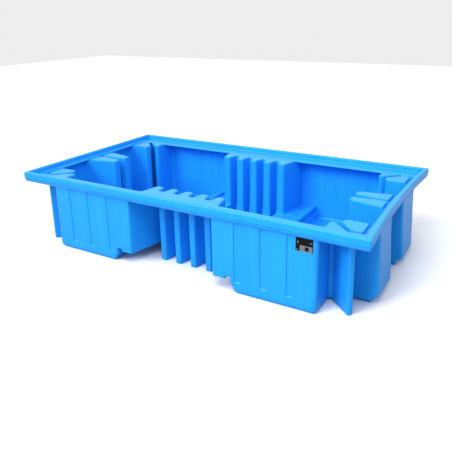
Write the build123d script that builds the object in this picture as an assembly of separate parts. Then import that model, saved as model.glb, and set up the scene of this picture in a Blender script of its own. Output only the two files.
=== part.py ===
from build123d import *
import math
import os

# Spill containment pallet: the open sump for two bulk containers, in millimetres.
# The real sump is one moulded plastic skin. It is divided here into named zones that
# meet face to face, and each zone is made of flat panels with mitred joints. The
# origin is at ground level under the middle, X along the length, Y across, Z up.

LENGTH = 2450.0          # over the rim
WIDTH = 1390.0           # over the rim
HEIGHT = 512.0           # ground to the top of the rim
SKIN = 8.0               # thickness of the moulded skin
DRAFT = math.tan(math.radians(0.5))

# Rim: a ridge round the top, a skirt hanging outside it and a flat ledge inside it
RIDGE_WIDTH = 30.0
RIDGE_DROP = 34.0        # ridge top down to the ledge
SKIRT_DROP = 68.0        # ridge top down to the lower edge of the skirt
SKIRT_LEAN = 11.0        # the lower edge of the skirt stands back by this much
LEDGE_X = 1165.0         # half the opening between the end ledges
LEDGE_Y = 563.0          # half the opening between the side ledges

# Walls: half sizes of the outer skin at ground level
WALL_X = 1205.0
WALL_Y = 672.0
CORNER_X = 947.0         # the side walls end here, at the corner recesses
CORNER_Y = 408.0         # the end walls end here

# Combs: fins stand into the sump, and the slots between them are ribs outside
PITCH = 115.0
FIN_TIP_HALF = 23.0      # half the outside cavity of a fin, at its tip
RIB_HALF = 20.0          # half the outer face of a rib
SIDE_TIP = 428.0         # side combs: tips of the fins
SIDE_RIB = 508.0         # side combs: outer faces of the ribs
SIDE_MOUTH = 306.0       # half the side recess, where it meets the wall
END_TIP = 929.0
END_RIB = 1060.0
END_MOUTH = 136.0

# Corners: two fingers into the sump with a diagonal rib between them outside
RIB_LINE = 526.0         # the middle of the diagonal rib lies on y = x - RIB_LINE
RIB_REACH = 1105.5       # x at the middle of its outer end
CORNER_RIB_HALF = 15.0
FINGER_TIP_Y = 484.0
FINGER_TIP_X = 1016.0
FINGER_ROUND = 10.0      # the finger tips fall back towards the diagonal rib

# Underside
FOOT_INNER = 423.0       # the outer feet begin here
CHANNEL_HEIGHT = 80.0    # roof of the fork channels
GROOVE_RISE = 20.0       # groove in that roof, beside each outer foot
GROOVE_WIDTH = 35.0
TOE_INSET = 28.0         # the outer feet stand back from the end walls
TOE_HEIGHT = 43.0

# Rating label on the front right wall
LABEL_WIDTH, LABEL_HEIGHT, LABEL_THICK = 98.0, 76.0, 0.8
LABEL_X, LABEL_Z = 874.0, 397.0

LEDGE_TOP = HEIGHT - RIDGE_DROP
LEDGE_UNDER = LEDGE_TOP - SKIN
SKIRT_EDGE = HEIGHT - SKIRT_DROP
HALF_L, HALF_W = LENGTH / 2, WIDTH / 2
RIDGE_X, RIDGE_Y = HALF_L - RIDGE_WIDTH, HALF_W - RIDGE_WIDTH
CHANNEL_INNER = 2 * PITCH - FIN_TIP_HALF
GROOVE_X = FOOT_INNER - GROOVE_WIDTH
TOE_X = WALL_X - TOE_INSET


def prism(ring_a, ring_b):
    """A closed flat-sided solid between two rings of points with matching corners."""
    rings = [ring_a, ring_b]
    for i in range(len(ring_a)):
        j = (i + 1) % len(ring_a)
        rings.append([ring_a[i], ring_a[j], ring_b[j], ring_b[i]])
    faces = [Face(Wire.make_polygon([Vector(*p) for p in ring], close=True)) for ring in rings]
    solid = Solid(Shell(faces))
    return solid if solid.volume > 0 else Solid(Shell([-face for face in faces]))


def frustum(low, high, z_low, z_high):
    return prism([(x, y, z_low) for x, y in low], [(x, y, z_high) for x, y in high])


def plate(outline, z_low, thick=SKIN):
    return frustum(outline, outline, z_low, z_low + thick)


def block(x1, x2, y1, y2, z_low, thick=SKIN):
    return plate([(x1, y1), (x2, y1), (x2, y2), (x1, y2)], z_low, thick)


def flip(solids, x=False, y=False):
    """The solids mirrored to the other end, the other side, or both."""
    planes = ([Plane.YZ] if x else []) + ([Plane.XZ] if y else [])
    for plane in planes:
        solids = [solid.mirror(plane) for solid in solids]
    return solids


def save(name, solids):
    group = solids[0] if len(solids) == 1 else Compound(children=solids)
    group.label = name
    export_step(group, f"parts/{name}.step")


def quarter_outline():
    """Outer skin at ground level, from the middle of the end to the middle of the side."""
    fin = PITCH / 2
    points = [(END_RIB, RIB_HALF), (END_TIP, fin - FIN_TIP_HALF), (END_TIP, fin + FIN_TIP_HALF),
              (WALL_X, END_MOUTH), (WALL_X, CORNER_Y), (FINGER_TIP_X, CORNER_Y)]
    # the diagonal rib: its two sides are parallel and its end is square to them
    spread = CORNER_RIB_HALF * math.sqrt(2)
    half = CORNER_RIB_HALF / math.sqrt(2)
    root_a = FINGER_TIP_X - FINGER_ROUND
    root_b = FINGER_TIP_Y - FINGER_ROUND
    end_y = RIB_REACH - RIB_LINE
    points += [(root_a, root_a - RIB_LINE - spread), (RIB_REACH + half, end_y - half),
               (RIB_REACH - half, end_y + half), (root_b + RIB_LINE - spread, root_b),
               (CORNER_X, FINGER_TIP_Y), (CORNER_X, WALL_Y), (SIDE_MOUTH, WALL_Y)]
    for rib in (3 * fin, fin):
        points += [(rib + fin + FIN_TIP_HALF, SIDE_TIP), (rib + fin - FIN_TIP_HALF, SIDE_TIP)]
        points += [(rib + RIB_HALF, SIDE_RIB), (rib - RIB_HALF, SIDE_RIB)]
    return points + [(FIN_TIP_HALF, SIDE_TIP)]


# Names for the corners of the quarter outline. Panel N runs from corner N to corner N + 1.
(E_RIB, E_TIP_IN, E_TIP_OUT, E_MOUTH, E_WALL, FINGER_A, ROOT_A, RIB_A, RIB_B, ROOT_B, FINGER_B,
 S_WALL, S_MOUTH, FIN_2, FIN_2_IN, RIB_2, RIB_2_IN, FIN_1, FIN_1_IN, RIB_1, RIB_1_IN, FIN_0) = range(22)

QUARTER = quarter_outline()
ROUND_TRIP = [(QUARTER[0][0], -QUARTER[0][1])] + QUARTER + [(-QUARTER[-1][0], QUARTER[-1][1])]


def corner(index, z=0.0, inner=False):
    """A corner of the skin at height z, on its outer face or its inner face."""
    before, here, after = ROUND_TRIP[index:index + 3]
    out = DRAFT * z - (SKIN if inner else 0.0)
    normals = []
    for a, b in ((before, here), (here, after)):
        run = math.dist(a, b)
        normals.append(((b[1] - a[1]) / run, (a[0] - b[0]) / run))
    (ax, ay), (bx, by) = normals
    scale = out / (1 + ax * bx + ay * by)
    return (here[0] + (ax + bx) * scale, here[1] + (ay + by) * scale)


def at(index, z, inner, axis=None, value=None):
    """A point on panel index, at its first corner or where one coordinate has a value."""
    start = corner(index, z, inner)
    if axis is None:
        return start
    stop = corner(index + 1, z, inner)
    share = (value - start[axis]) / (stop[axis] - start[axis])
    return tuple(a + (b - a) * share for a, b in zip(start, stop))


def panel(index, z_low, z_high, axis=0, begin=None, finish=None):
    """A flat panel of skin, mitred at its corners or cut square at begin or finish."""
    def ring(z):
        points = []
        for inner in (False, True):
            a = at(index, z, inner) if begin is None else at(index, z, inner, axis, begin)
            b = corner(index + 1, z, inner) if finish is None else at(index, z, inner, axis, finish)
            points.append((a, b))
        (a, b), (c, d) = points
        return [a, b, d, c]

    return frustum(ring(z_low), ring(z_high), z_low, z_high)


def middle_panel(index, z_low, z_high):
    """The panel that joins corner index to its own mirror image."""
    across = index == E_RIB

    def ring(z):
        a, b = corner(index, z), corner(index, z, inner=True)
        sign = (1, -1) if across else (-1, 1)
        return [a, (a[0] * sign[0], a[1] * sign[1]), (b[0] * sign[0], b[1] * sign[1]), b]

    return frustum(ring(z_low), ring(z_high), z_low, z_high)


def top(index):
    """A corner of the sump's opening, at the height of the ledge."""
    return corner(index, LEDGE_UNDER, inner=True)


def top_at(index, axis, value):
    return at(index, LEDGE_UNDER, True, axis, value)


# Zones
def side_comb():
    """Front or rear comb at positive y: five hollow fins, four ribs and their flat top."""
    half = [panel(S_MOUTH, CHANNEL_HEIGHT + SKIN, LEDGE_UNDER),
            panel(FIN_2, CHANNEL_HEIGHT + SKIN, LEDGE_UNDER)]
    half += [panel(FIN_2_IN, SKIN, CHANNEL_HEIGHT + SKIN, axis=1, begin=SIDE_TIP),
             panel(FIN_2_IN, CHANNEL_HEIGHT + SKIN, LEDGE_UNDER)]
    half += [panel(i, SKIN, LEDGE_UNDER) for i in range(RIB_2, FIN_0)]
    root = top(RIB_1)[1]
    outer_root = top_at(S_MOUTH, 1, root)
    outer_ledge = top_at(S_MOUTH, 1, LEDGE_Y)
    half.append(plate([top(FIN_2), top(FIN_2_IN), top(RIB_2), outer_root], LEDGE_UNDER))
    half.append(plate([top(FIN_1), top(FIN_1_IN), top(RIB_1), top(RIB_2_IN)], LEDGE_UNDER))
    tip, foot = top(FIN_0), top(RIB_1_IN)
    middle = plate([tip, (-tip[0], tip[1]), (-foot[0], foot[1]), foot], LEDGE_UNDER)
    back = plate([outer_root, outer_ledge, (-outer_ledge[0], LEDGE_Y), (-outer_root[0], root)],
                 LEDGE_UNDER)
    return half + flip(half, x=True) + [middle_panel(FIN_0, SKIN, LEDGE_UNDER), middle, back]


def end_comb():
    """Comb at positive x: two hollow fins, one rib and their flat top."""
    half = [panel(E_RIB, SKIN, LEDGE_UNDER), panel(E_TIP_IN, SKIN, LEDGE_UNDER),
            panel(E_TIP_OUT, SKIN, LEDGE_UNDER, finish=TOE_X),
            panel(E_TIP_OUT, TOE_HEIGHT + SKIN, LEDGE_UNDER, begin=TOE_X)]
    root = top(E_RIB)[0]
    outer_root, outer_ledge = top_at(E_TIP_OUT, 0, root), top_at(E_TIP_OUT, 0, LEDGE_X)
    half.append(plate([top(E_RIB), top(E_TIP_IN), top(E_TIP_OUT), outer_root], LEDGE_UNDER))
    back = plate([outer_root, outer_ledge, (LEDGE_X, -outer_ledge[1]), (root, -outer_root[1])],
                 LEDGE_UNDER)
    return half + flip(half, y=True) + [middle_panel(E_RIB, SKIN, LEDGE_UNDER), back]


def corner_fingers():
    """Two hollow fingers with the diagonal rib between them, and their flat tops."""
    walls = [panel(i, SKIN, LEDGE_UNDER) for i in range(FINGER_A, S_WALL)]
    walls.append(panel(E_WALL, SKIN, LEDGE_UNDER, begin=TOE_X))
    walls.append(panel(E_WALL, TOE_HEIGHT + SKIN, LEDGE_UNDER, finish=TOE_X))
    end_finger = [top(FINGER_A), (LEDGE_X, top(FINGER_A)[1]), (LEDGE_X, LEDGE_Y),
                  top_at(ROOT_A, 1, LEDGE_Y), top(ROOT_A)]
    side_finger = [(top(FINGER_B)[0], LEDGE_Y), top(FINGER_B), top(ROOT_B),
                   top_at(RIB_B, 1, LEDGE_Y)]
    return walls + [plate(end_finger, LEDGE_UNDER), plate(side_finger, LEDGE_UNDER)]


def side_wall():
    """Wall between a corner recess and a side comb. It stands on the fork channel's roof."""
    foot_edge = FOOT_INNER + SKIN
    groove_edge = GROOVE_X - SKIN
    return [panel(S_WALL, SKIN, LEDGE_UNDER, finish=foot_edge),
            panel(S_WALL, CHANNEL_HEIGHT + GROOVE_RISE + SKIN, LEDGE_UNDER,
                  begin=foot_edge, finish=groove_edge),
            panel(S_WALL, CHANNEL_HEIGHT + SKIN, LEDGE_UNDER, begin=groove_edge)]


def end_wall():
    return [panel(E_MOUTH, TOE_HEIGHT + SKIN, LEDGE_UNDER)]


def foot():
    """Floor of the outer foot at positive x, with the raised toe under each end wall."""
    half = [block(END_TIP, CORNER_X, FINGER_TIP_Y, WALL_Y, 0),
            plate([corner(E_TIP_OUT), at(E_TIP_OUT, 0, False, 0, TOE_X), (TOE_X, CORNER_Y),
                   (END_TIP, CORNER_Y)], 0),
            plate([(END_TIP, CORNER_Y), corner(FINGER_A), corner(ROOT_A), corner(ROOT_B),
                   corner(FINGER_B), (END_TIP, FINGER_TIP_Y)], 0),
            plate([corner(i) for i in (ROOT_A, RIB_A, RIB_B, ROOT_B)], 0)]
    mouth = at(E_TIP_OUT, 0, True, 0, TOE_X)[1]
    half.append(block(TOE_X - SKIN, TOE_X, mouth, CORNER_Y - SKIN, SKIN, TOE_HEIGHT))
    half.append(plate([at(E_TIP_OUT, 0, False, 0, TOE_X), corner(E_MOUTH), corner(E_WALL),
                       (TOE_X, CORNER_Y)], TOE_HEIGHT))
    rib = [corner(E_RIB), corner(E_TIP_IN)]
    rib += [(x, -y) for x, y in rib[::-1]]
    return half + flip(half, y=True) + [plate(rib, 0), block(FOOT_INNER, END_TIP, -WALL_Y, WALL_Y, 0)]


def center_foot():
    """Floor between the fork channels, with the bottoms of the side ribs."""
    ribs = [plate([corner(i) for i in (RIB_1, RIB_1_IN, FIN_0, FIN_1_IN)], 0),
            plate([corner(i) for i in (RIB_2, RIB_2_IN, FIN_1, FIN_2_IN)], 0)]
    ribs += flip(ribs, x=True)
    return ribs + flip(ribs, y=True) + [block(-CHANNEL_INNER, CHANNEL_INNER, -SIDE_TIP, SIDE_TIP, 0)]


def fork_channel():
    """Channel for a truck's fork at positive x, open at both sides and below."""
    roof = CHANNEL_HEIGHT
    groove = roof + GROOVE_RISE
    end = [plate([corner(FIN_2), corner(S_MOUTH), (GROOVE_X, WALL_Y), (GROOVE_X, SIDE_TIP)], roof)]
    return end + flip(end, y=True) + [
        block(CHANNEL_INNER - SKIN, GROOVE_X, -SIDE_TIP, SIDE_TIP, roof),
        block(CHANNEL_INNER - SKIN, CHANNEL_INNER, -SIDE_TIP, SIDE_TIP, SKIN, roof - SKIN),
        block(GROOVE_X - SKIN, GROOVE_X, -WALL_Y, WALL_Y, roof + SKIN, GROOVE_RISE - SKIN),
        block(GROOVE_X - SKIN, FOOT_INNER + SKIN, -WALL_Y, WALL_Y, groove),
        block(FOOT_INNER, FOOT_INNER + SKIN, -WALL_Y, WALL_Y, SKIN, groove - SKIN)]


def rim_bar(profile, swap):
    """A mitred bar along one side. Its section is points of (distance in from the edge, z)."""
    def ring(sign):
        points = [(sign * (HALF_L - inset), HALF_W - inset, z) for inset, z in profile]
        if swap:
            points = [(HALF_L - inset, sign * (HALF_W - inset), z) for inset, z in profile]
        return points

    return prism(ring(-1), ring(1))


def rim(swap=False):
    """Ridge, skirt and ledge along one side, at positive y, or positive x if swapped."""
    wall = HALF_L - WALL_X if swap else HALF_W - WALL_Y
    wall_low, wall_high = wall - DRAFT * SKIRT_EDGE, wall - DRAFT * LEDGE_UNDER
    lean = SKIRT_LEAN * (LEDGE_UNDER - SKIRT_EDGE) / SKIRT_DROP
    ridge = [(SKIRT_LEAN - lean, LEDGE_UNDER), (0.0, HEIGHT - 5.0), (3.0, HEIGHT),
             (RIDGE_WIDTH - 3.0, HEIGHT), (RIDGE_WIDTH, HEIGHT - 4.0), (RIDGE_WIDTH, LEDGE_UNDER)]
    skirt = [(wall_low, SKIRT_EDGE), (SKIRT_LEAN, SKIRT_EDGE), (SKIRT_LEAN - lean, LEDGE_UNDER),
             (wall_high, LEDGE_UNDER)]
    ledge = [(-RIDGE_X, RIDGE_Y), (RIDGE_X, RIDGE_Y), (LEDGE_X, LEDGE_Y), (-LEDGE_X, LEDGE_Y)]
    if swap:
        ledge = [(RIDGE_X, -RIDGE_Y), (RIDGE_X, RIDGE_Y), (LEDGE_X, LEDGE_Y), (LEDGE_X, -LEDGE_Y)]
    return [rim_bar(ridge, swap), rim_bar(skirt, swap), plate(ledge, LEDGE_UNDER)]


def rating_label():
    """A thin plate that lies on the leaning front wall."""
    z_low, z_high = LABEL_Z - LABEL_HEIGHT / 2, LABEL_Z + LABEL_HEIGHT / 2
    x1, x2 = LABEL_X - LABEL_WIDTH / 2, LABEL_X + LABEL_WIDTH / 2

    def ring(z):
        face = -(WALL_Y + DRAFT * z)
        return [(x1, face), (x2, face), (x2, face - LABEL_THICK), (x1, face - LABEL_THICK)]

    return [frustum(ring(z_low), ring(z_high), z_low, z_high)]


os.makedirs("parts", exist_ok=True)
ENDS = (("right", False), ("left", True))
SIDES = (("rear", False), ("front", True))

save("center_foot", center_foot())
for end, at_left in ENDS:
    save(f"{end}_foot", flip(foot(), x=at_left))
    save(f"{end}_fork_channel", flip(fork_channel(), x=at_left))
    save(f"{end}_comb", flip(end_comb(), x=at_left))
    save(f"{end}_rim", flip(rim(swap=True), x=at_left))
    for side, at_front in SIDES:
        save(f"{side}_{end}_corner", flip(corner_fingers(), x=at_left, y=at_front))
        save(f"{side}_wall_{end}", flip(side_wall(), x=at_left, y=at_front))
        save(f"{end}_wall_{side}", flip(end_wall(), x=at_left, y=at_front))
for side, at_front in SIDES:
    save(f"{side}_comb", flip(side_comb(), y=at_front))
    save(f"{side}_rim", flip(rim(), y=at_front))
save("rating_label", rating_label())
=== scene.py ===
import math

import bmesh
import bpy
from mathutils import Matrix, Vector


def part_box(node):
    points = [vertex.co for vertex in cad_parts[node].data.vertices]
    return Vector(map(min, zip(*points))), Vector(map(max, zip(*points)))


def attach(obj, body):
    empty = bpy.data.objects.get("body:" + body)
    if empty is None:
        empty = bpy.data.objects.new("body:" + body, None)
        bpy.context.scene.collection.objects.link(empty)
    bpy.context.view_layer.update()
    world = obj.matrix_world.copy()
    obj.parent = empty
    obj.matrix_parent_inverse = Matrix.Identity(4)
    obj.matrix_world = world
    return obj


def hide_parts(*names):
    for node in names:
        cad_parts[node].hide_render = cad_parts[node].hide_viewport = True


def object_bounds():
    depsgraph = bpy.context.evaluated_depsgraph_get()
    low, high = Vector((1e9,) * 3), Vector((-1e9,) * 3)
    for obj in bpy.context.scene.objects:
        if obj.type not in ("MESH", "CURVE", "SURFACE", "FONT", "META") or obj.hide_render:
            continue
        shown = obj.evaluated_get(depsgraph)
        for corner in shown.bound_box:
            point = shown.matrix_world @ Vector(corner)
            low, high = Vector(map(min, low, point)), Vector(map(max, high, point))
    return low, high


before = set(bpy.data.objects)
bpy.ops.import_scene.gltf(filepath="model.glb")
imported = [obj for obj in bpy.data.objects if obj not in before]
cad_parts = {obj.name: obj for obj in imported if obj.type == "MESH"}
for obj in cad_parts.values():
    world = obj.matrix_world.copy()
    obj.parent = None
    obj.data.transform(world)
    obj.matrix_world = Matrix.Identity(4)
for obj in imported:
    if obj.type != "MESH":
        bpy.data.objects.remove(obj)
cad_low, cad_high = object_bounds()

# The sump is one moulded skin, so one mesh stands for all the CAD zones. Sizes are in
# millimetres, in the frame of the CAD: X along the length, Y from front to rear, Z up.
MM = 0.001
LENGTH = (cad_high.x - cad_low.x) / MM
WIDTH = (cad_high.y - cad_low.y) / MM
HEIGHT = cad_high.z / MM
HALF_L, HALF_W = LENGTH / 2, WIDTH / 2
SKIN = 8.0
DRAFT = math.tan(math.radians(0.5))

# Rim
RIDGE_WIDTH = 30.0
RIDGE_DROP = 34.0
RIDGE_ROUND = 11.0       # along both upper edges of the ridge
RIDGE_FOOT_ROUND = 7.0   # where the ridge meets the ledge
RIM_CORNER_ROUND = 11.0
SKIRT_DROP = 68.0
SKIRT_LEAN = 11.0
PARTING_DROP = 46.0      # the moulding's parting line runs round the skirt
PARTING_DEEP = 6.0
LEDGE_X, LEDGE_Y = 1165.0, 563.0
LEDGE_TOP = HEIGHT - RIDGE_DROP
LEDGE_UNDER = LEDGE_TOP - SKIN
SKIRT_EDGE = HEIGHT - SKIRT_DROP
EDGE_ROUND = 10.0        # rounding of the fin tops and of the ledge's free edge
PLATE_OVERLAP = 3.0      # what stands under the plate runs this far up into it

# Walls, fins and ribs, on the outer skin at ground level
WALL_X, WALL_Y = 1205.0, 672.0
CORNER_X, CORNER_Y = 947.0, 408.0
PITCH = 115.0
FIN_TIP_HALF, RIB_HALF = 23.0, 20.0
SIDE_TIP, SIDE_RIB, SIDE_MOUTH = 428.0, 508.0, 306.0
END_TIP, END_RIB, END_MOUTH = 929.0, 1060.0, 136.0
RIB_LINE, RIB_REACH, CORNER_RIB_HALF = 526.0, 1105.5, 15.0
CORNER_ROOT_WIDER = 1.45  # a corner rib is thicker at its root than at its end
FINGER_TIP_X, FINGER_TIP_Y, FINGER_SETBACK = 1016.0, 484.0, 10.0

# Feet and fork channels
FOOT_INNER = 423.0
FOOT_ROUND, FLOOR_ROUND = 18.0, 24.0                # under the outer feet and in their floors
CENTRE_FOOT_ROUND, CENTRE_FLOOR_ROUND = 16.0, 14.0  # the same for the middle foot
CHANNEL_INNER = 2 * PITCH - FIN_TIP_HALF
CHANNEL_ROOF = 80.0
CHANNEL_ROUND = 6.0
CHANNEL_LEAN = 24.0      # the channels' outer walls lean by this much
LEAN_REACH = 110.0       # and the foot follows the lean as far as this from the channel
GROOVE_ROOF = 100.0
GROOVE_X = FOOT_INNER - 35.0
TOE_X, TOE_HEIGHT, TOE_ROUND = WALL_X - 28.0, 43.0, 8.0
PLINTH = 10.0            # the outer feet stand on a plinth this high
PLINTH_INSET = 14.0      # and it stands back by this much
RIB_ROUND, RIB_INNER_ROUND = 7.0, 3.0
BODY_LEVELS = (220.0, 340.0)   # heights between which the walls are straight
PAD_X, PAD_Y, PAD_ROUND = (560.0, 905.0), 585.0, 30.0   # low pads in the outer feet's floors

# Valleys beside the end ledges
VALLEY_WIDTH = 20.0
VALLEY_FLOOR = 456.0
VALLEY_LIP = 6.0
END_VALLEY_HALF = 155.0
END_SLOT_HALF, END_SLOT_BEGIN = 15.0, END_RIB - 14.0
CORNER_VALLEY_BEGIN, CORNER_SLOT_BEGIN = 385.0, 1072.0
ISLAND_ROUND = 14.0

# Rounding of the corners seen in plan, on the outer skin
RIB_END_ROUND, CORNER_RIB_ROUND = 11.0, 9.0
FIN_TIP_ROUND, FINGER_ROUND = 7.0, 16.0
WALL_END_ROUND, END_MOUTH_ROUND, SIDE_MOUTH_ROUND = 20.0, 18.0, 12.0
ROOT_ROUND = 30.0
HIDDEN_ROUND = 5.0       # corners that lie inside a neighbour
SMALL_ROUND = 3.0
SMALLEST_ROUND = 4.0
MOST_ROOM = 0.45         # share of a straight side that one arc may take up
ARC_STEPS = 5
SPAN = 95.0              # longest straight stretch between two points of an outline

# Grooves in the side walls
GROOVE_PLACES = (470.0, 635.0, 795.0)
GROOVE_HALF, GROOVE_DEEP, GROOVE_SLOPE = 22.0, 6.5, 3.0
RIDGE_DEEP = 2.5         # the same grooves show only faintly inside
RIDGE_WIDER = 2.0
GROOVE_FOOT, GROOVE_SILL = 70.0, 8.0
BEHIND_SKIRT = 10.0      # the grooves run this far up behind the skirt
STRIP_OVERLAP = 0.3      # a strip's root lies this far past the wall's face

# The set that the moulding took as it cooled
BOW = 26.0               # the right rim bows in by this much
SAG = 9.0                # the front right corner lies lower than the middle of the front rim
SET_MARGIN = 40.0        # nothing moves within this distance of the ground


def smooth(t):
    t = min(max(t, 0.0), 1.0)
    return t * t * (3 - 2 * t)


def quarter_turn(steps, first=0):
    """(sine, cosine) at equal steps of a quarter turn."""
    turns = [math.pi / 2 * k / steps for k in range(first, steps + 1)]
    return [(math.sin(turn), math.cos(turn)) for turn in turns]


def warp(x, y, z):
    """The slight set that the moulding took as it cooled, as a point in metres."""
    rise = smooth((z - SET_MARGIN) / (HEIGHT - 2 * SET_MARGIN))
    to_right = max(x / HALF_L, 0.0)
    bow = BOW * to_right ** 3 * (1 - (y / HALF_W) ** 2) * rise
    sag = SAG * to_right ** 2 * (0.5 - 0.5 * y / HALF_W) * rise
    return Vector((x - bow, y, z - sag)) * MM


# Outlines
class Outline:
    """A closed anticlockwise outline with rounded corners, which can be offset."""

    def __init__(self, corners, radii):
        self.corners = corners
        self.radii = radii if isinstance(radii, list) else [radii] * len(corners)
        pairs = zip(corners, corners[1:] + corners[:1])
        self.splits = [max(1, round(math.dist(a, b) / SPAN)) for a, b in pairs]

    def normals(self):
        pairs = zip(self.corners, self.corners[1:] + self.corners[:1])
        return [Vector((b[1] - a[1], a[0] - b[0])).normalized() for a, b in pairs]

    def offset(self, grow):
        """The sharp corners, moved outwards by grow."""
        normals = self.normals()
        moved = []
        for i, here in enumerate(self.corners):
            a, b = normals[i - 1], normals[i]
            moved.append(Vector(here) + (a + b) * (grow / (1 + a.dot(b))))
        return moved

    def ring(self, grow):
        """Points of the rounded outline, moved outwards by grow."""
        normals = self.normals()
        moved = self.offset(grow)
        count = len(moved)
        arcs = []
        for i, here in enumerate(moved):
            a, b = normals[i - 1], normals[i]
            turn = math.atan2(a.x * b.y - a.y * b.x, a.dot(b))
            side = 1 if turn > 0 else -1
            radius = max(self.radii[i] + side * grow, SMALLEST_ROUND)
            room = min((here - moved[i - 1]).length, (moved[(i + 1) % count] - here).length)
            radius = min(radius, MOST_ROOM * room / math.tan(abs(turn) / 2))
            centre = here - (a + b).normalized() * side * radius / math.cos(turn / 2)
            arcs.append([centre + Matrix.Rotation(turn * k / ARC_STEPS, 2) @ a * side * radius
                         for k in range(ARC_STEPS + 1)])
        points = []
        for i, arc in enumerate(arcs):
            follow = arcs[(i + 1) % count][0]
            points += arc
            splits = self.splits[i]
            points += [arc[-1].lerp(follow, k / splits) for k in range(1, splits)]
        return points

    def mirrored(self):
        """The same outline at the other end."""
        return Outline([(-x, y) for x, y in self.corners[::-1]], self.radii[::-1])

    def turned(self):
        """The same outline on the other side."""
        return Outline([(x, -y) for x, y in self.corners[::-1]], self.radii[::-1])


def all_round(quarter, radii):
    """A whole outline from the quarter that runs from an end's middle to a side's middle."""
    back = [(-x, y) for x, y in quarter[::-1]]
    points = quarter + back
    points += [(-x, -y) for x, y in points]
    return Outline(points, (radii + radii[::-1]) * 2)


def half_round(quarter, radii):
    """The outline of an end piece from its part at positive y."""
    return Outline(quarter + [(x, -y) for x, y in quarter[::-1]], radii + radii[::-1])


def box(x1, x2, y1, y2, radius):
    """A rectangle with rounded corners."""
    return Outline([(x1, y1), (x2, y1), (x2, y2), (x1, y2)], radius)


def across(a, b, axis, value):
    """The point between a and b where one coordinate has a value."""
    share = (value - a[axis]) / (b[axis] - a[axis])
    return (a[0] + (b[0] - a[0]) * share, a[1] + (b[1] - a[1]) * share)


def both_ends(outline):
    return [outline, outline.mirrored()]


FIN = PITCH / 2
SPREAD = CORNER_RIB_HALF * math.sqrt(2) * CORNER_ROOT_WIDER
RIB_SIDE = CORNER_RIB_HALF / math.sqrt(2)
FINGER_END_X, FINGER_END_Y = FINGER_TIP_X - FINGER_SETBACK, FINGER_TIP_Y - FINGER_SETBACK
ROOT_A = (FINGER_END_X, FINGER_END_X - RIB_LINE - SPREAD)
ROOT_B = (FINGER_END_Y + RIB_LINE - SPREAD, FINGER_END_Y)
REACH_A = (RIB_REACH + RIB_SIDE, RIB_REACH - RIB_LINE - RIB_SIDE)
REACH_B = (RIB_REACH - RIB_SIDE, RIB_REACH - RIB_LINE + RIB_SIDE)


def side_comb():
    """Fin tips and ribs of half a side comb, from its outermost fin to the middle one."""
    part = []
    for rib in (3 * FIN, FIN):
        part += [((rib + FIN + FIN_TIP_HALF, SIDE_TIP), FIN_TIP_ROUND),
                 ((rib + FIN - FIN_TIP_HALF, SIDE_TIP), FIN_TIP_ROUND),
                 ((rib + RIB_HALF, SIDE_RIB), RIB_END_ROUND),
                 ((rib - RIB_HALF, SIDE_RIB), RIB_END_ROUND)]
    return part + [((FIN_TIP_HALF, SIDE_TIP), FIN_TIP_ROUND)]


# The outer skin at ground level: each corner with its radius
END_PART = [((END_RIB, RIB_HALF), RIB_END_ROUND),
            ((END_TIP, FIN - FIN_TIP_HALF), FIN_TIP_ROUND),
            ((END_TIP, FIN + FIN_TIP_HALF), FIN_TIP_ROUND),
            ((WALL_X, END_MOUTH), END_MOUTH_ROUND),
            ((WALL_X, CORNER_Y), WALL_END_ROUND),
            ((FINGER_TIP_X, CORNER_Y), FINGER_ROUND)]
CORNER_PART = [(ROOT_A, ROOT_ROUND), (REACH_A, CORNER_RIB_ROUND),
               (REACH_B, CORNER_RIB_ROUND), (ROOT_B, ROOT_ROUND)]
SIDE_PART = [((CORNER_X, FINGER_TIP_Y), FINGER_ROUND),
             ((CORNER_X, WALL_Y), WALL_END_ROUND),
             ((SIDE_MOUTH, WALL_Y), SIDE_MOUTH_ROUND)]
QUARTER = END_PART + CORNER_PART + SIDE_PART + side_comb()
BODY = all_round([p for p, r in QUARTER], [r for p, r in QUARTER])


def opening_outline():
    """The sump's mouth: the inner skin at the ledge's height, cut off by the ledge."""
    inset = DRAFT * LEDGE_UNDER - SKIN
    skin = [tuple(p) for p in BODY.offset(inset)[:len(QUARTER)]]
    corner_begin = len(END_PART)
    side_begin = corner_begin + len(CORNER_PART)
    comb_begin = side_begin + len(SIDE_PART)
    end, corner = skin[:corner_begin], skin[corner_begin:side_begin]
    finger, wall, mouth = skin[side_begin:comb_begin]
    comb = skin[comb_begin:]
    points = end[:3] + [across(end[2], end[3], 0, LEDGE_X), (LEDGE_X, end[4][1]), end[5]]
    points += [corner[0], across(corner[0], corner[1], 1, LEDGE_Y),
               across(corner[2], corner[3], 1, LEDGE_Y), corner[3]]
    points += [finger, (wall[0], LEDGE_Y), across(mouth, comb[0], 1, LEDGE_Y)] + comb
    in_rib, at_fin, at_ledge = 8.0, 12.0, 10.0
    at_wall, at_finger, at_root, in_slot = 12.0, 16.0, 26.0, 4.0
    radii = [in_rib, at_fin, at_fin, at_ledge, at_wall, at_finger]
    radii += [at_root, in_slot, in_slot, at_root]
    radii += [at_finger, at_wall, at_ledge]
    radii += [at_fin, at_fin, in_rib, in_rib] * 2 + [at_fin]
    return all_round(points, radii)


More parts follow.
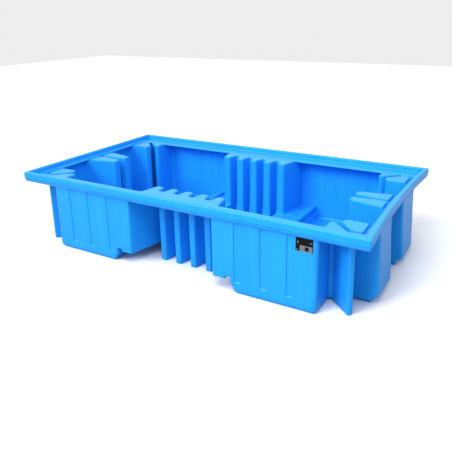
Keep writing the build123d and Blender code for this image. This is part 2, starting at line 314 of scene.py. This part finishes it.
def foot_outline(toe):
    """An outer foot without its narrow ribs. Its end is at the toe or at the wall."""
    flank = across((END_TIP, FIN + FIN_TIP_HALF), (WALL_X, END_MOUTH), 0, toe)
    channel_round, tip_round = 14.0, 10.0
    part = [((END_TIP, FIN + FIN_TIP_HALF), FIN_TIP_ROUND), (flank, END_MOUTH_ROUND),
            ((toe, CORNER_Y), WALL_END_ROUND), ((FINGER_TIP_X, CORNER_Y), tip_round),
            (ROOT_A, CORNER_RIB_ROUND), (ROOT_B, CORNER_RIB_ROUND),
            ((CORNER_X, FINGER_TIP_Y), tip_round), ((CORNER_X, WALL_Y), WALL_END_ROUND),
            ((FOOT_INNER, WALL_Y), channel_round)]
    return half_round([p for p, r in part], [r for p, r in part])


def channel_outline():
    """The raised floor over a fork channel, from the groove to the middle foot."""
    overlap = 20.0
    points = [(GROOVE_X, WALL_Y), (SIDE_MOUTH, WALL_Y), (2 * PITCH + FIN_TIP_HALF, SIDE_TIP),
              (CHANNEL_INNER - overlap, SIDE_TIP)]
    radii = [CHANNEL_ROUND, SIDE_MOUTH_ROUND, FIN_TIP_ROUND, HIDDEN_ROUND]
    mirrored = [(x, -y) for x, y in points[::-1]]
    return Outline(points + mirrored, radii + radii[::-1])


def centre_outline():
    """The middle foot. It stands in a little from the fins, so that no two faces coincide."""
    edge_round, tip = 9.0, SIDE_TIP - 0.5
    return box(-CHANNEL_INNER, CHANNEL_INNER, -tip, tip, edge_round)


def end_rib():
    overlap, wider = 20.0, 2.0
    points = [(END_RIB, RIB_HALF), (END_TIP - overlap, FIN - FIN_TIP_HALF + wider)]
    return half_round(points, [RIB_END_ROUND, HIDDEN_ROUND])


def corner_rib():
    overlap = 12.0
    start = Vector(ROOT_A) + (Vector(ROOT_A) - Vector(REACH_A)).normalized() * overlap
    other = Vector(ROOT_B) + (Vector(ROOT_B) - Vector(REACH_B)).normalized() * overlap
    return Outline([tuple(start), REACH_A, REACH_B, tuple(other)],
                   [HIDDEN_ROUND, CORNER_RIB_ROUND, CORNER_RIB_ROUND, HIDDEN_ROUND])


def side_rib(middle):
    overlap = 16.0
    tip = FIN - FIN_TIP_HALF
    root = tip + (tip - RIB_HALF) * overlap / (SIDE_RIB - SIDE_TIP)
    low = SIDE_TIP - overlap
    points = [(middle - root, low), (middle + root, low),
              (middle + RIB_HALF, SIDE_RIB), (middle - RIB_HALF, SIDE_RIB)]
    return Outline(points, [HIDDEN_ROUND, HIDDEN_ROUND, RIB_END_ROUND, RIB_END_ROUND])


def end_valley():
    """The valley beside the two end fins, with the slot between the fins running into it."""
    near, half, slot = LEDGE_X - VALLEY_WIDTH, END_VALLEY_HALF, END_SLOT_HALF
    points = [(END_SLOT_BEGIN, -slot), (near, -slot), (near, -half), (LEDGE_X, -half),
              (LEDGE_X, half), (near, half), (near, slot), (END_SLOT_BEGIN, slot)]
    return Outline(points, [SMALL_ROUND, ISLAND_ROUND, SMALL_ROUND, SMALL_ROUND,
                            SMALL_ROUND, SMALL_ROUND, ISLAND_ROUND, SMALL_ROUND])


def corner_valley():
    """The valley beside a corner's ledge, which turns to meet the slot of the corner rib."""
    near, far_side = LEDGE_X - VALLEY_WIDTH, LEDGE_Y - 2.0
    turn_at, bend_round = LEDGE_Y - 22.0, 10.0
    points = [(near, CORNER_VALLEY_BEGIN), (LEDGE_X, CORNER_VALLEY_BEGIN), (LEDGE_X, far_side),
              (CORNER_SLOT_BEGIN, far_side), (CORNER_SLOT_BEGIN, turn_at), (near, turn_at)]
    return Outline(points, [SMALL_ROUND, SMALL_ROUND, bend_round,
                            SMALL_ROUND, SMALL_ROUND, ISLAND_ROUND])


# Solids
def solid(name, rings):
    """A closed mesh through a list of rings, each a list of points in millimetres."""
    mesh = bmesh.new()
    rows = [[mesh.verts.new(warp(*p)) for p in ring] for ring in rings]
    count = len(rows[0])
    for low, high in zip(rows, rows[1:]):
        for i in range(count):
            j = (i + 1) % count
            mesh.faces.new((low[i], low[j], high[j], high[i]))
    mesh.faces.new(rows[0][::-1])
    mesh.faces.new(rows[-1])
    bmesh.ops.recalc_face_normals(mesh, faces=mesh.faces)
    data = bpy.data.meshes.new(name)
    mesh.to_mesh(data)
    mesh.free()
    obj = bpy.data.objects.new(name, data)
    bpy.context.scene.collection.objects.link(obj)
    return obj


def stack(outline, levels):
    """A closed mesh from an outline at several (offset, height) levels."""
    return solid("piece", [[(p.x, p.y, z) for p in outline.ring(grow)] for grow, z in levels])


def leaned(x, z):
    """The foot's wall beside the fork channel stands back towards the ground."""
    fade = 90.0
    near = smooth((FOOT_INNER + LEAN_REACH - abs(x)) / fade)
    return x + math.copysign(CHANNEL_LEAN * near * max(0.0, 1 - z / GROOVE_ROOF), x)


def cup(outline, low, high, radius, inset=0.0, lean=False, plinth=False):
    """A solid with a rounded bottom edge, up to just inside whatever stands on it."""
    tuck, overlap = 3.0, 5.0
    levels = []
    first = 0
    if plinth:
        chamfer, slope = 2.0, 0.5
        levels = [(-PLINTH_INSET - chamfer, 0.0), (-PLINTH_INSET, chamfer),
                  (-PLINTH_INSET + slope, PLINTH)]
        first = 2
    for sine, cosine in quarter_turn(ARC_STEPS + 1, first):
        z = low + radius * (1 - cosine)
        levels.append((DRAFT * z - inset - radius * (1 - sine), z))
    levels.append((DRAFT * high - inset, high))
    levels.append((DRAFT * high - inset - tuck, high + overlap))
    if not lean:
        return stack(outline, levels)
    rings = [[(leaned(p.x, z), p.y, z) for p in outline.ring(grow)] for grow, z in levels]
    return solid("piece", rings)


def ridge_levels():
    """The ridge's section as (inset from the edge, height), from the ledge to the skirt."""
    outer_inset, skirt_begin = 0.6, 3.0
    levels = [(RIDGE_WIDTH + RIDGE_FOOT_ROUND + 2.0, LEDGE_TOP)]
    for sine, cosine in quarter_turn(3, 1):
        levels.append((RIDGE_WIDTH + RIDGE_FOOT_ROUND + 1.0 - RIDGE_FOOT_ROUND * sine,
                       LEDGE_TOP + RIDGE_FOOT_ROUND * (1 - cosine)))
    for sine, cosine in quarter_turn(5):
        levels.append((RIDGE_WIDTH - RIDGE_ROUND + RIDGE_ROUND * cosine,
                       HEIGHT - RIDGE_ROUND * (1 - sine)))
    for sine, cosine in quarter_turn(5)[:-1]:
        levels.append((RIDGE_ROUND - RIDGE_ROUND * sine + outer_inset,
                       HEIGHT - RIDGE_ROUND * (1 - cosine)))
    return levels + [(0.0, HEIGHT - RIDGE_ROUND - skirt_begin)]


def skirt_levels():
    """The skirt's section: the parting line, the rounded lower edge, and the inner face."""
    parting = HEIGHT - PARTING_DROP
    groove = [(1.2, parting + 3.5), (PARTING_DEEP, parting + 1.5),
              (PARTING_DEEP, parting - 1.5), (1.4, parting - 5.0)]
    edge = [(-1.5, 5.0), (0.5, 0.8), (3.0, 0.0), (9.0, 0.0), (11.0, 2.5)]
    inner_face = SKIRT_LEAN + 12.0
    return groove + [(SKIRT_LEAN + inset, SKIRT_EDGE + rise) for inset, rise in edge] \
        + [(inner_face, LEDGE_UNDER), (120.0, LEDGE_UNDER), (400.0, LEDGE_UNDER)]


def rim():
    """The rim and the flat plate inside it, before the sump's mouth is cut."""
    edge = box(-HALF_L, HALF_L, -HALF_W, HALF_W, RIM_CORNER_ROUND)
    plate = [(inset, LEDGE_TOP) for inset in (520.0, 400.0, 300.0, 210.0, 132.0, 80.0)]
    section = plate + ridge_levels() + skirt_levels()
    return stack(edge, [(-inset, z) for inset, z in section])


def rounded_lip(radius, overshoot, above):
    """The upper levels of a cut: a rounded edge, then a margin above the plate."""
    levels = [(radius * (1 - cosine), LEDGE_TOP + overshoot - radius * (1 - sine))
              for sine, cosine in quarter_turn(ARC_STEPS)]
    return levels + [(radius + 1.0, LEDGE_TOP + above)]


def mouth():
    """The cut through the plate, rounded at its upper edge."""
    below = [(-5.0, LEDGE_UNDER - 40.0), (-2.0, LEDGE_UNDER - 3.0), (0.0, LEDGE_UNDER - 0.5)]
    return stack(opening_outline(), below + rounded_lip(EDGE_ROUND, 0.06, 12.0))


def valley(outline):
    """A narrow cut into the end ledge, with a rounded floor and rounded lips."""
    below = [(-7.0, VALLEY_FLOOR), (-2.5, VALLEY_FLOOR + 2.0), (0.0, VALLEY_FLOOR + 6.0)]
    return stack(outline, below + rounded_lip(VALLEY_LIP, 0.07, 11.0))


def wall_strip(middle, side, begin, cut, depth, half, foot, top):
    """A strip along a side wall with sloping flanks: a cut into it or a ridge on it."""
    past_face = 2.0 if cut else 3.0
    flank = 1.0
    foot_share, foot_width = 0.04, 0.8
    rings = []
    for z, share in ((foot, foot_share), (foot + GROOVE_SILL, 1.0), (top, 1.0)):
        face = begin + DRAFT * z + STRIP_OVERLAP
        reach = half * (foot_width + (1 - foot_width) * share)
        past = face + past_face
        crest = face - (depth + STRIP_OVERLAP) * share
        rings.append([(middle - reach, past * side, z), (middle + reach, past * side, z),
                      (middle + reach - flank, face * side, z),
                      (middle + reach - flank - GROOVE_SLOPE, crest * side, z),
                      (middle - reach + flank + GROOVE_SLOPE, crest * side, z),
                      (middle - reach + flank, face * side, z)])
    return solid("strip", rings)


# The moulding
def wall_levels(inset, low, high):
    """Levels of the long walls, with their draft."""
    return [(DRAFT * z - inset, z) for z in (low, *BODY_LEVELS, high)]


def feet(floor):
    """Outer solids and inner cuts of the feet, the toes, the channels and the middle foot."""
    adds, cuts = [], []
    for outline in both_ends(foot_outline(TOE_X)):
        adds.append(cup(outline, PLINTH, GROOVE_ROOF, FOOT_ROUND, 0.0, True, True))
        cuts.append(cup(outline, SKIN, floor, FLOOR_ROUND, SKIN, True))
    for outline in both_ends(foot_outline(WALL_X)):
        adds.append(cup(outline, TOE_HEIGHT, GROOVE_ROOF, TOE_ROUND))
        cuts.append(cup(outline, TOE_HEIGHT + SKIN, floor, TOE_ROUND, SKIN))
    for outline in both_ends(channel_outline()):
        adds.append(cup(outline, CHANNEL_ROOF, GROOVE_ROOF, CHANNEL_ROUND))
        cuts.append(cup(outline, CHANNEL_ROOF + SKIN, floor, CHANNEL_ROUND, SKIN))
    middle = centre_outline()
    adds.append(cup(middle, 0.0, GROOVE_ROOF, CENTRE_FOOT_ROUND))
    cuts.append(cup(middle, SKIN, floor, CENTRE_FLOOR_ROUND, SKIN))
    return adds, cuts


def ribs(floor):
    """Outer solids and inner cuts of the ribs between the fins and at the corners."""
    outlines = both_ends(end_rib())
    for rib in both_ends(corner_rib()):
        outlines += [rib, rib.turned()]
    for place in (FIN, 3 * FIN):
        for rib in both_ends(side_rib(place)):
            outlines += [rib, rib.turned()]
    adds, cuts = [], []
    for outline in outlines:
        adds.append(cup(outline, 0.0, GROOVE_ROOF, RIB_ROUND))
        cuts.append(cup(outline, SKIN, floor, RIB_INNER_ROUND, SKIN))
    return adds, cuts


def valleys():
    """Blocks under the end ledges, and the valleys that are cut into them."""
    levels = [(0.0, VALLEY_FLOOR - SKIN), (0.0, LEDGE_UNDER + PLATE_OVERLAP)]
    outer, half = LEDGE_X + 18.0, 118.0
    fills, cuts = [], []
    for outline in both_ends(box(END_RIB - 24.0, outer, -half, half, SMALL_ROUND)):
        fills.append(stack(outline, levels))
    block = box(CORNER_SLOT_BEGIN - 16.0, outer, CORNER_Y - 3.0, LEDGE_Y + 21.0, SMALL_ROUND)
    for outline in both_ends(block):
        fills += [stack(outline, levels), stack(outline.turned(), levels)]
    for outline in both_ends(end_valley()):
        cuts.append(valley(outline))
    for outline in both_ends(corner_valley()):
        cuts += [valley(outline), valley(outline.turned())]
    return fills, cuts


def wall_strips():
    """Grooves outside the side walls, and the faint ridges that they make inside."""
    cuts, ridges = [], []
    for place in GROOVE_PLACES:
        for x in (place, -place):
            for side in (1, -1):
                cuts.append(wall_strip(x, side, WALL_Y, True, GROOVE_DEEP, GROOVE_HALF,
                                       GROOVE_FOOT, SKIRT_EDGE + BEHIND_SKIRT))
                ridges.append(wall_strip(x, side, WALL_Y - SKIN, False, RIDGE_DEEP,
                                         GROOVE_HALF + RIDGE_WIDER, GROOVE_FOOT + SKIN,
                                         LEDGE_UNDER + PLATE_OVERLAP))
    return cuts, ridges


def floor_pads():
    """The low raised pads in the floors of the outer feet."""
    levels = [(0.0, SKIN - 4.0), (0.0, SKIN + 4.0), (-3.0, SKIN + 9.0), (-9.0, SKIN + 12.0)]
    pad = box(*PAD_X, -PAD_Y, PAD_Y, PAD_ROUND)
    return [stack(outline, levels) for outline in both_ends(pad)]


def joined(body, steps):
    """The body after each (other solid, boolean operation) in turn, as one closed mesh."""
    for other, operation in steps:
        change = body.modifiers.new(operation.lower(), "BOOLEAN")
        change.operation = operation
        change.solver = "MANIFOLD"
        change.object = other
    graph = bpy.context.evaluated_depsgraph_get()
    data = bpy.data.meshes.new_from_object(body.evaluated_get(graph))
    body.modifiers.clear()
    body.data = data
    for other, _ in steps:
        bpy.data.meshes.remove(other.data)
    return body


def moulding():
    """Outer solids, less the sump, plus what stands up inside it."""
    floor = GROOVE_ROOF + SKIN
    top = LEDGE_UNDER + SKIN / 2
    adds = [stack(BODY, wall_levels(0.0, GROOVE_ROOF, top))]
    cuts = [stack(BODY, wall_levels(SKIN, floor, LEDGE_UNDER))]
    for more_adds, more_cuts in (feet(floor), ribs(floor)):
        adds += more_adds
        cuts += more_cuts
    fills, valley_cuts = valleys()
    grooves, ridges = wall_strips()
    cuts += valley_cuts + [mouth()] + grooves
    ridges += floor_pads()
    body = rim()
    body.name = "moulded_sump"
    steps = [(o, "UNION") for o in adds + fills] + [(o, "DIFFERENCE") for o in cuts]
    steps += [(o, "UNION") for o in ridges]
    return joined(body, steps)


def finish_surface(body):
    """Shades the joined mesh smooth, with its flat faces kept flat."""
    sharpest_smooth = math.radians(38.0)
    body.data.shade_smooth()
    body.data.set_sharp_from_angle(angle=sharpest_smooth)
    weighted = body.modifiers.new("weighted", "WEIGHTED_NORMAL")
    weighted.keep_sharp = True
    weighted.weight = 80


# Materials
def principled(name, colour, roughness, specular=0.5):
    material = bpy.data.materials.new(name)
    material.use_nodes = True
    shader = material.node_tree.nodes["Principled BSDF"]
    shader.inputs["Base Color"].default_value = (*colour, 1.0)
    shader.inputs["Roughness"].default_value = roughness
    shader.inputs["Specular IOR Level"].default_value = specular
    return material, shader


def node(tree, kind, **values):
    """A new node. Each value is a property of it or, with spaces for underscores, an input."""
    made = tree.nodes.new(kind)
    for key, value in values.items():
        if hasattr(made, key):
            setattr(made, key, value)
        else:
            made.inputs[key.replace("_", " ")].default_value = value
    return made


def mottling(tree, place):
    """Soft clouds in the plastic, as a factor."""
    clouds = node(tree, "ShaderNodeTexNoise", Scale=7.0, Detail=4.0, Roughness=0.6)
    tree.links.new(place.outputs["Object"], clouds.inputs["Vector"])
    return clouds.outputs["Fac"]


def streaked(tree, place, clouds):
    """The clouds mixed with upright streaks, as a factor."""
    streak_share = 0.55
    stretch = node(tree, "ShaderNodeMapping", Scale=(30.0, 30.0, 1.4))
    streaks = node(tree, "ShaderNodeTexNoise", Scale=1.0, Detail=2.0)
    some_clouds = node(tree, "ShaderNodeMath", operation="MULTIPLY")
    some_clouds.inputs[1].default_value = 1 - streak_share
    both = node(tree, "ShaderNodeMath", operation="MULTIPLY_ADD")
    both.inputs[1].default_value = streak_share
    tree.links.new(place.outputs["Object"], stretch.inputs["Vector"])
    tree.links.new(stretch.outputs["Vector"], streaks.inputs["Vector"])
    tree.links.new(clouds, some_clouds.inputs[0])
    tree.links.new(streaks.outputs["Fac"], both.inputs[0])
    tree.links.new(some_clouds.outputs["Value"], both.inputs[2])
    return both.outputs["Value"]


def surface_relief(tree, place):
    """A fine orange-peel skin on slow swells, as a normal."""
    peel = node(tree, "ShaderNodeTexNoise", Scale=160.0, Detail=2.0)
    grain = node(tree, "ShaderNodeBump", Strength=0.12, Distance=0.0008)
    wave = node(tree, "ShaderNodeTexNoise", Scale=3.2, Detail=1.0)
    swell = node(tree, "ShaderNodeBump", Strength=0.35, Distance=0.012)
    tree.links.new(place.outputs["Object"], peel.inputs["Vector"])
    tree.links.new(peel.outputs["Fac"], grain.inputs["Height"])
    tree.links.new(place.outputs["Object"], wave.inputs["Vector"])
    tree.links.new(wave.outputs["Fac"], swell.inputs["Height"])
    tree.links.new(grain.outputs["Normal"], swell.inputs["Normal"])
    return swell.outputs["Normal"]


def polyethylene():
    """Blue moulded plastic: faint mottling and streaks, an orange-peel skin, a satin gloss."""
    material, shader = principled("moulded_polyethylene", (0.014, 0.31, 0.85), 0.36, 0.65)
    shader.inputs["Specular Tint"].default_value = (0.45, 0.80, 1.0, 1.0)
    shader.inputs["IOR"].default_value = 1.3
    tree = material.node_tree
    place = tree.nodes.new("ShaderNodeTexCoord")
    clouds = mottling(tree, place)
    tint = tree.nodes.new("ShaderNodeValToRGB")
    stops = tint.color_ramp.elements
    stops[0].position, stops[1].position = 0.32, 0.72
    stops[0].color = (0.012, 0.285, 0.82, 1.0)
    stops[1].color = (0.016, 0.335, 0.88, 1.0)
    gloss = node(tree, "ShaderNodeMapRange", To_Min=0.25, To_Max=0.35)
    tree.links.new(streaked(tree, place, clouds), tint.inputs["Fac"])
    tree.links.new(tint.outputs["Color"], shader.inputs["Base Color"])
    tree.links.new(clouds, gloss.inputs["Value"])
    tree.links.new(gloss.outputs["Result"], shader.inputs["Roughness"])
    tree.links.new(surface_relief(tree, place), shader.inputs["Normal"])
    return material


# Label
LABEL_RISE = 0.8         # the label's face stands this far off the wall
MARK_DEEP = 0.1
MARK_PROUD, CODE_PROUD = 0.25, 0.45


def label_marks():
    """Generic marks on the rating label: a silver panel, a code block and plain bars."""
    black, _ = principled("label_black", (0.004, 0.004, 0.005), 0.6, 0.1)
    silver, shader = principled("label_silver", (0.16, 0.16, 0.17), 0.5)
    shader.inputs["Metallic"].default_value = 0.2
    plate_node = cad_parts["rating_label"]
    plate_node.data.materials.clear()
    plate_node.data.materials.append(black)
    low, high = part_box("rating_label")
    low, high = Vector(low) / MM, Vector(high) / MM
    width, height = high.x - low.x, high.z - low.z
    # Each mark's left, right, lower and upper edges as shares of the label
    marks = [("panel", silver, (0.25, 0.96, 0.05, 0.50), MARK_PROUD),
             ("code", black, (0.54, 0.76, 0.13, 0.42), CODE_PROUD),
             ("bar_top", silver, (0.10, 0.17, 0.62, 0.80), MARK_PROUD),
             ("bar_right", silver, (0.80, 0.95, 0.72, 0.78), MARK_PROUD),
             ("bar_left", silver, (0.06, 0.14, 0.12, 0.20), MARK_PROUD)]
    for name, material, (x1, x2, z1, z2), proud in marks:
        left, right = low.x + width * x1, low.x + width * x2
        rings = []
        for z in (low.z + height * z1, low.z + height * z2):
            face = -(WALL_Y + DRAFT * z) - LABEL_RISE
            rings.append([(left, face + MARK_DEEP, z), (right, face + MARK_DEEP, z),
                          (right, face - proud, z), (left, face - proud, z)])
        mark = solid(f"label_{name}", rings)
        mark.data.materials.append(material)
        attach(mark, "root")


body = moulding()
finish_surface(body)
body.data.materials.clear()
body.data.materials.append(polyethylene())
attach(body, "root")
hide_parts(*[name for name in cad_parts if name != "rating_label"])
label_marks()


# Studio, in metres
def mix_by_ray(tree, unseen, seen, output):
    """Sends one shader to camera rays and another to all the rest."""
    rays = tree.nodes.new("ShaderNodeLightPath")
    either = tree.nodes.new("ShaderNodeMixShader")
    tree.links.new(rays.outputs["Is Camera Ray"], either.inputs["Fac"])
    tree.links.new(unseen, either.inputs[1])
    tree.links.new(seen, either.inputs[2])
    tree.links.new(either.outputs["Shader"], output.inputs["Surface"])


def studio_floor(reach):
    """A pale floor that looks white but throws back only part of the light."""
    mesh = bpy.data.meshes.new("floor")
    corners = [(-reach, -reach, 0), (reach, -reach, 0), (reach, reach, 0), (-reach, reach, 0)]
    mesh.from_pydata(corners, [], [(0, 1, 2, 3)])
    floor = bpy.data.objects.new("floor", mesh)
    bpy.context.scene.collection.objects.link(floor)
    material, pale = principled("floor", (0.95, 0.955, 0.96), 0.9, 0.1)
    mesh.materials.append(material)
    tree = material.node_tree
    dim = node(tree, "ShaderNodeBsdfDiffuse", Color=(0.52, 0.53, 0.55, 1.0))
    mix_by_ray(tree, dim.outputs["BSDF"], pale.outputs["BSDF"], tree.nodes["Material Output"])
    return floor


def studio_world():
    """Soft light from all round, stronger from the left, before a white backdrop."""
    world = bpy.data.worlds.new("studio")
    bpy.context.scene.world = world
    world.use_nodes = True
    tree = world.node_tree
    sky = tree.nodes["Background"]
    sky.inputs["Color"].default_value = (0.95, 0.97, 1.0, 1.0)
    around = tree.nodes.new("ShaderNodeTexCoord")
    parts = tree.nodes.new("ShaderNodeSeparateXYZ")
    fade = node(tree, "ShaderNodeMapRange", From_Min=-1.0, From_Max=1.0, To_Min=1.15, To_Max=0.66)
    tree.links.new(around.outputs["Generated"], parts.inputs["Vector"])
    tree.links.new(parts.outputs["X"], fade.inputs["Value"])
    tree.links.new(fade.outputs["Result"], sky.inputs["Strength"])
    backdrop = node(tree, "ShaderNodeBackground", Strength=1.06)
    mix_by_ray(tree, sky.outputs["Background"], backdrop.outputs["Background"],
               tree.nodes["World Output"])


def lamp(data, place, aim):
    """Puts a light in the scene so that it shines from one point towards another."""
    light = bpy.data.objects.new(data.name, data)
    light.location = place
    toward = Vector(aim) - Vector(place)
    light.rotation_euler = toward.to_track_quat("-Z", "Y").to_euler()
    bpy.context.scene.collection.objects.link(light)


def area_light(name, place, aim, size, power):
    data = bpy.data.lights.new(name, "AREA")
    data.shape = "SQUARE"
    data.size = size
    data.energy = power
    lamp(data, place, aim)


def sun_light(place, strength, spread):
    data = bpy.data.lights.new("sun", "SUN")
    data.energy = strength
    data.angle = math.radians(spread)
    lamp(data, place, (0.0, 0.0, 0.0))


floor = studio_floor(14.0)
studio_world()
sun_light((-0.50, -0.85, 0.64), 1.78, 24.0)
area_light("top", (-0.4, 1.2, 4.6), (0.0, 0.0, 0.2), 2.6, 12.0)
area_light("fill", (0.8, -2.2, 3.6), (-0.2, 0.4, 0.2), 1.8, 88.0)

# Camera, at the front right and above
CAMERA_PLACE = Vector((1.82207, -3.05892, 1.5367))
AZIMUTH, ELEVATION, ROLL = (math.radians(turn) for turn in (30.7761, 17.3592, -0.8936))


def camera_axes():
    """The camera's right, up and backward directions."""
    look = Vector((-math.sin(AZIMUTH) * math.cos(ELEVATION),
                   math.cos(AZIMUTH) * math.cos(ELEVATION), -math.sin(ELEVATION)))
    level = look.cross(Vector((0, 0, 1))).normalized()
    upright = level.cross(look)
    right = level * math.cos(ROLL) + upright * math.sin(ROLL)
    up = upright * math.cos(ROLL) - level * math.sin(ROLL)
    return Matrix((right, up, -look)).transposed()


camera_data = bpy.data.cameras.new("camera")
camera_data.sensor_width = 36.0
camera_data.lens = 42.555
camera_data.shift_x = 0.00242
camera_data.shift_y = -0.0972
camera_data.clip_end = 100.0
camera = bpy.data.objects.new("camera", camera_data)
camera.matrix_world = Matrix.Translation(CAMERA_PLACE) @ camera_axes().to_4x4()
bpy.context.scene.collection.objects.link(camera)
bpy.context.scene.camera = camera
bpy.context.scene.view_settings.view_transform = "Standard"
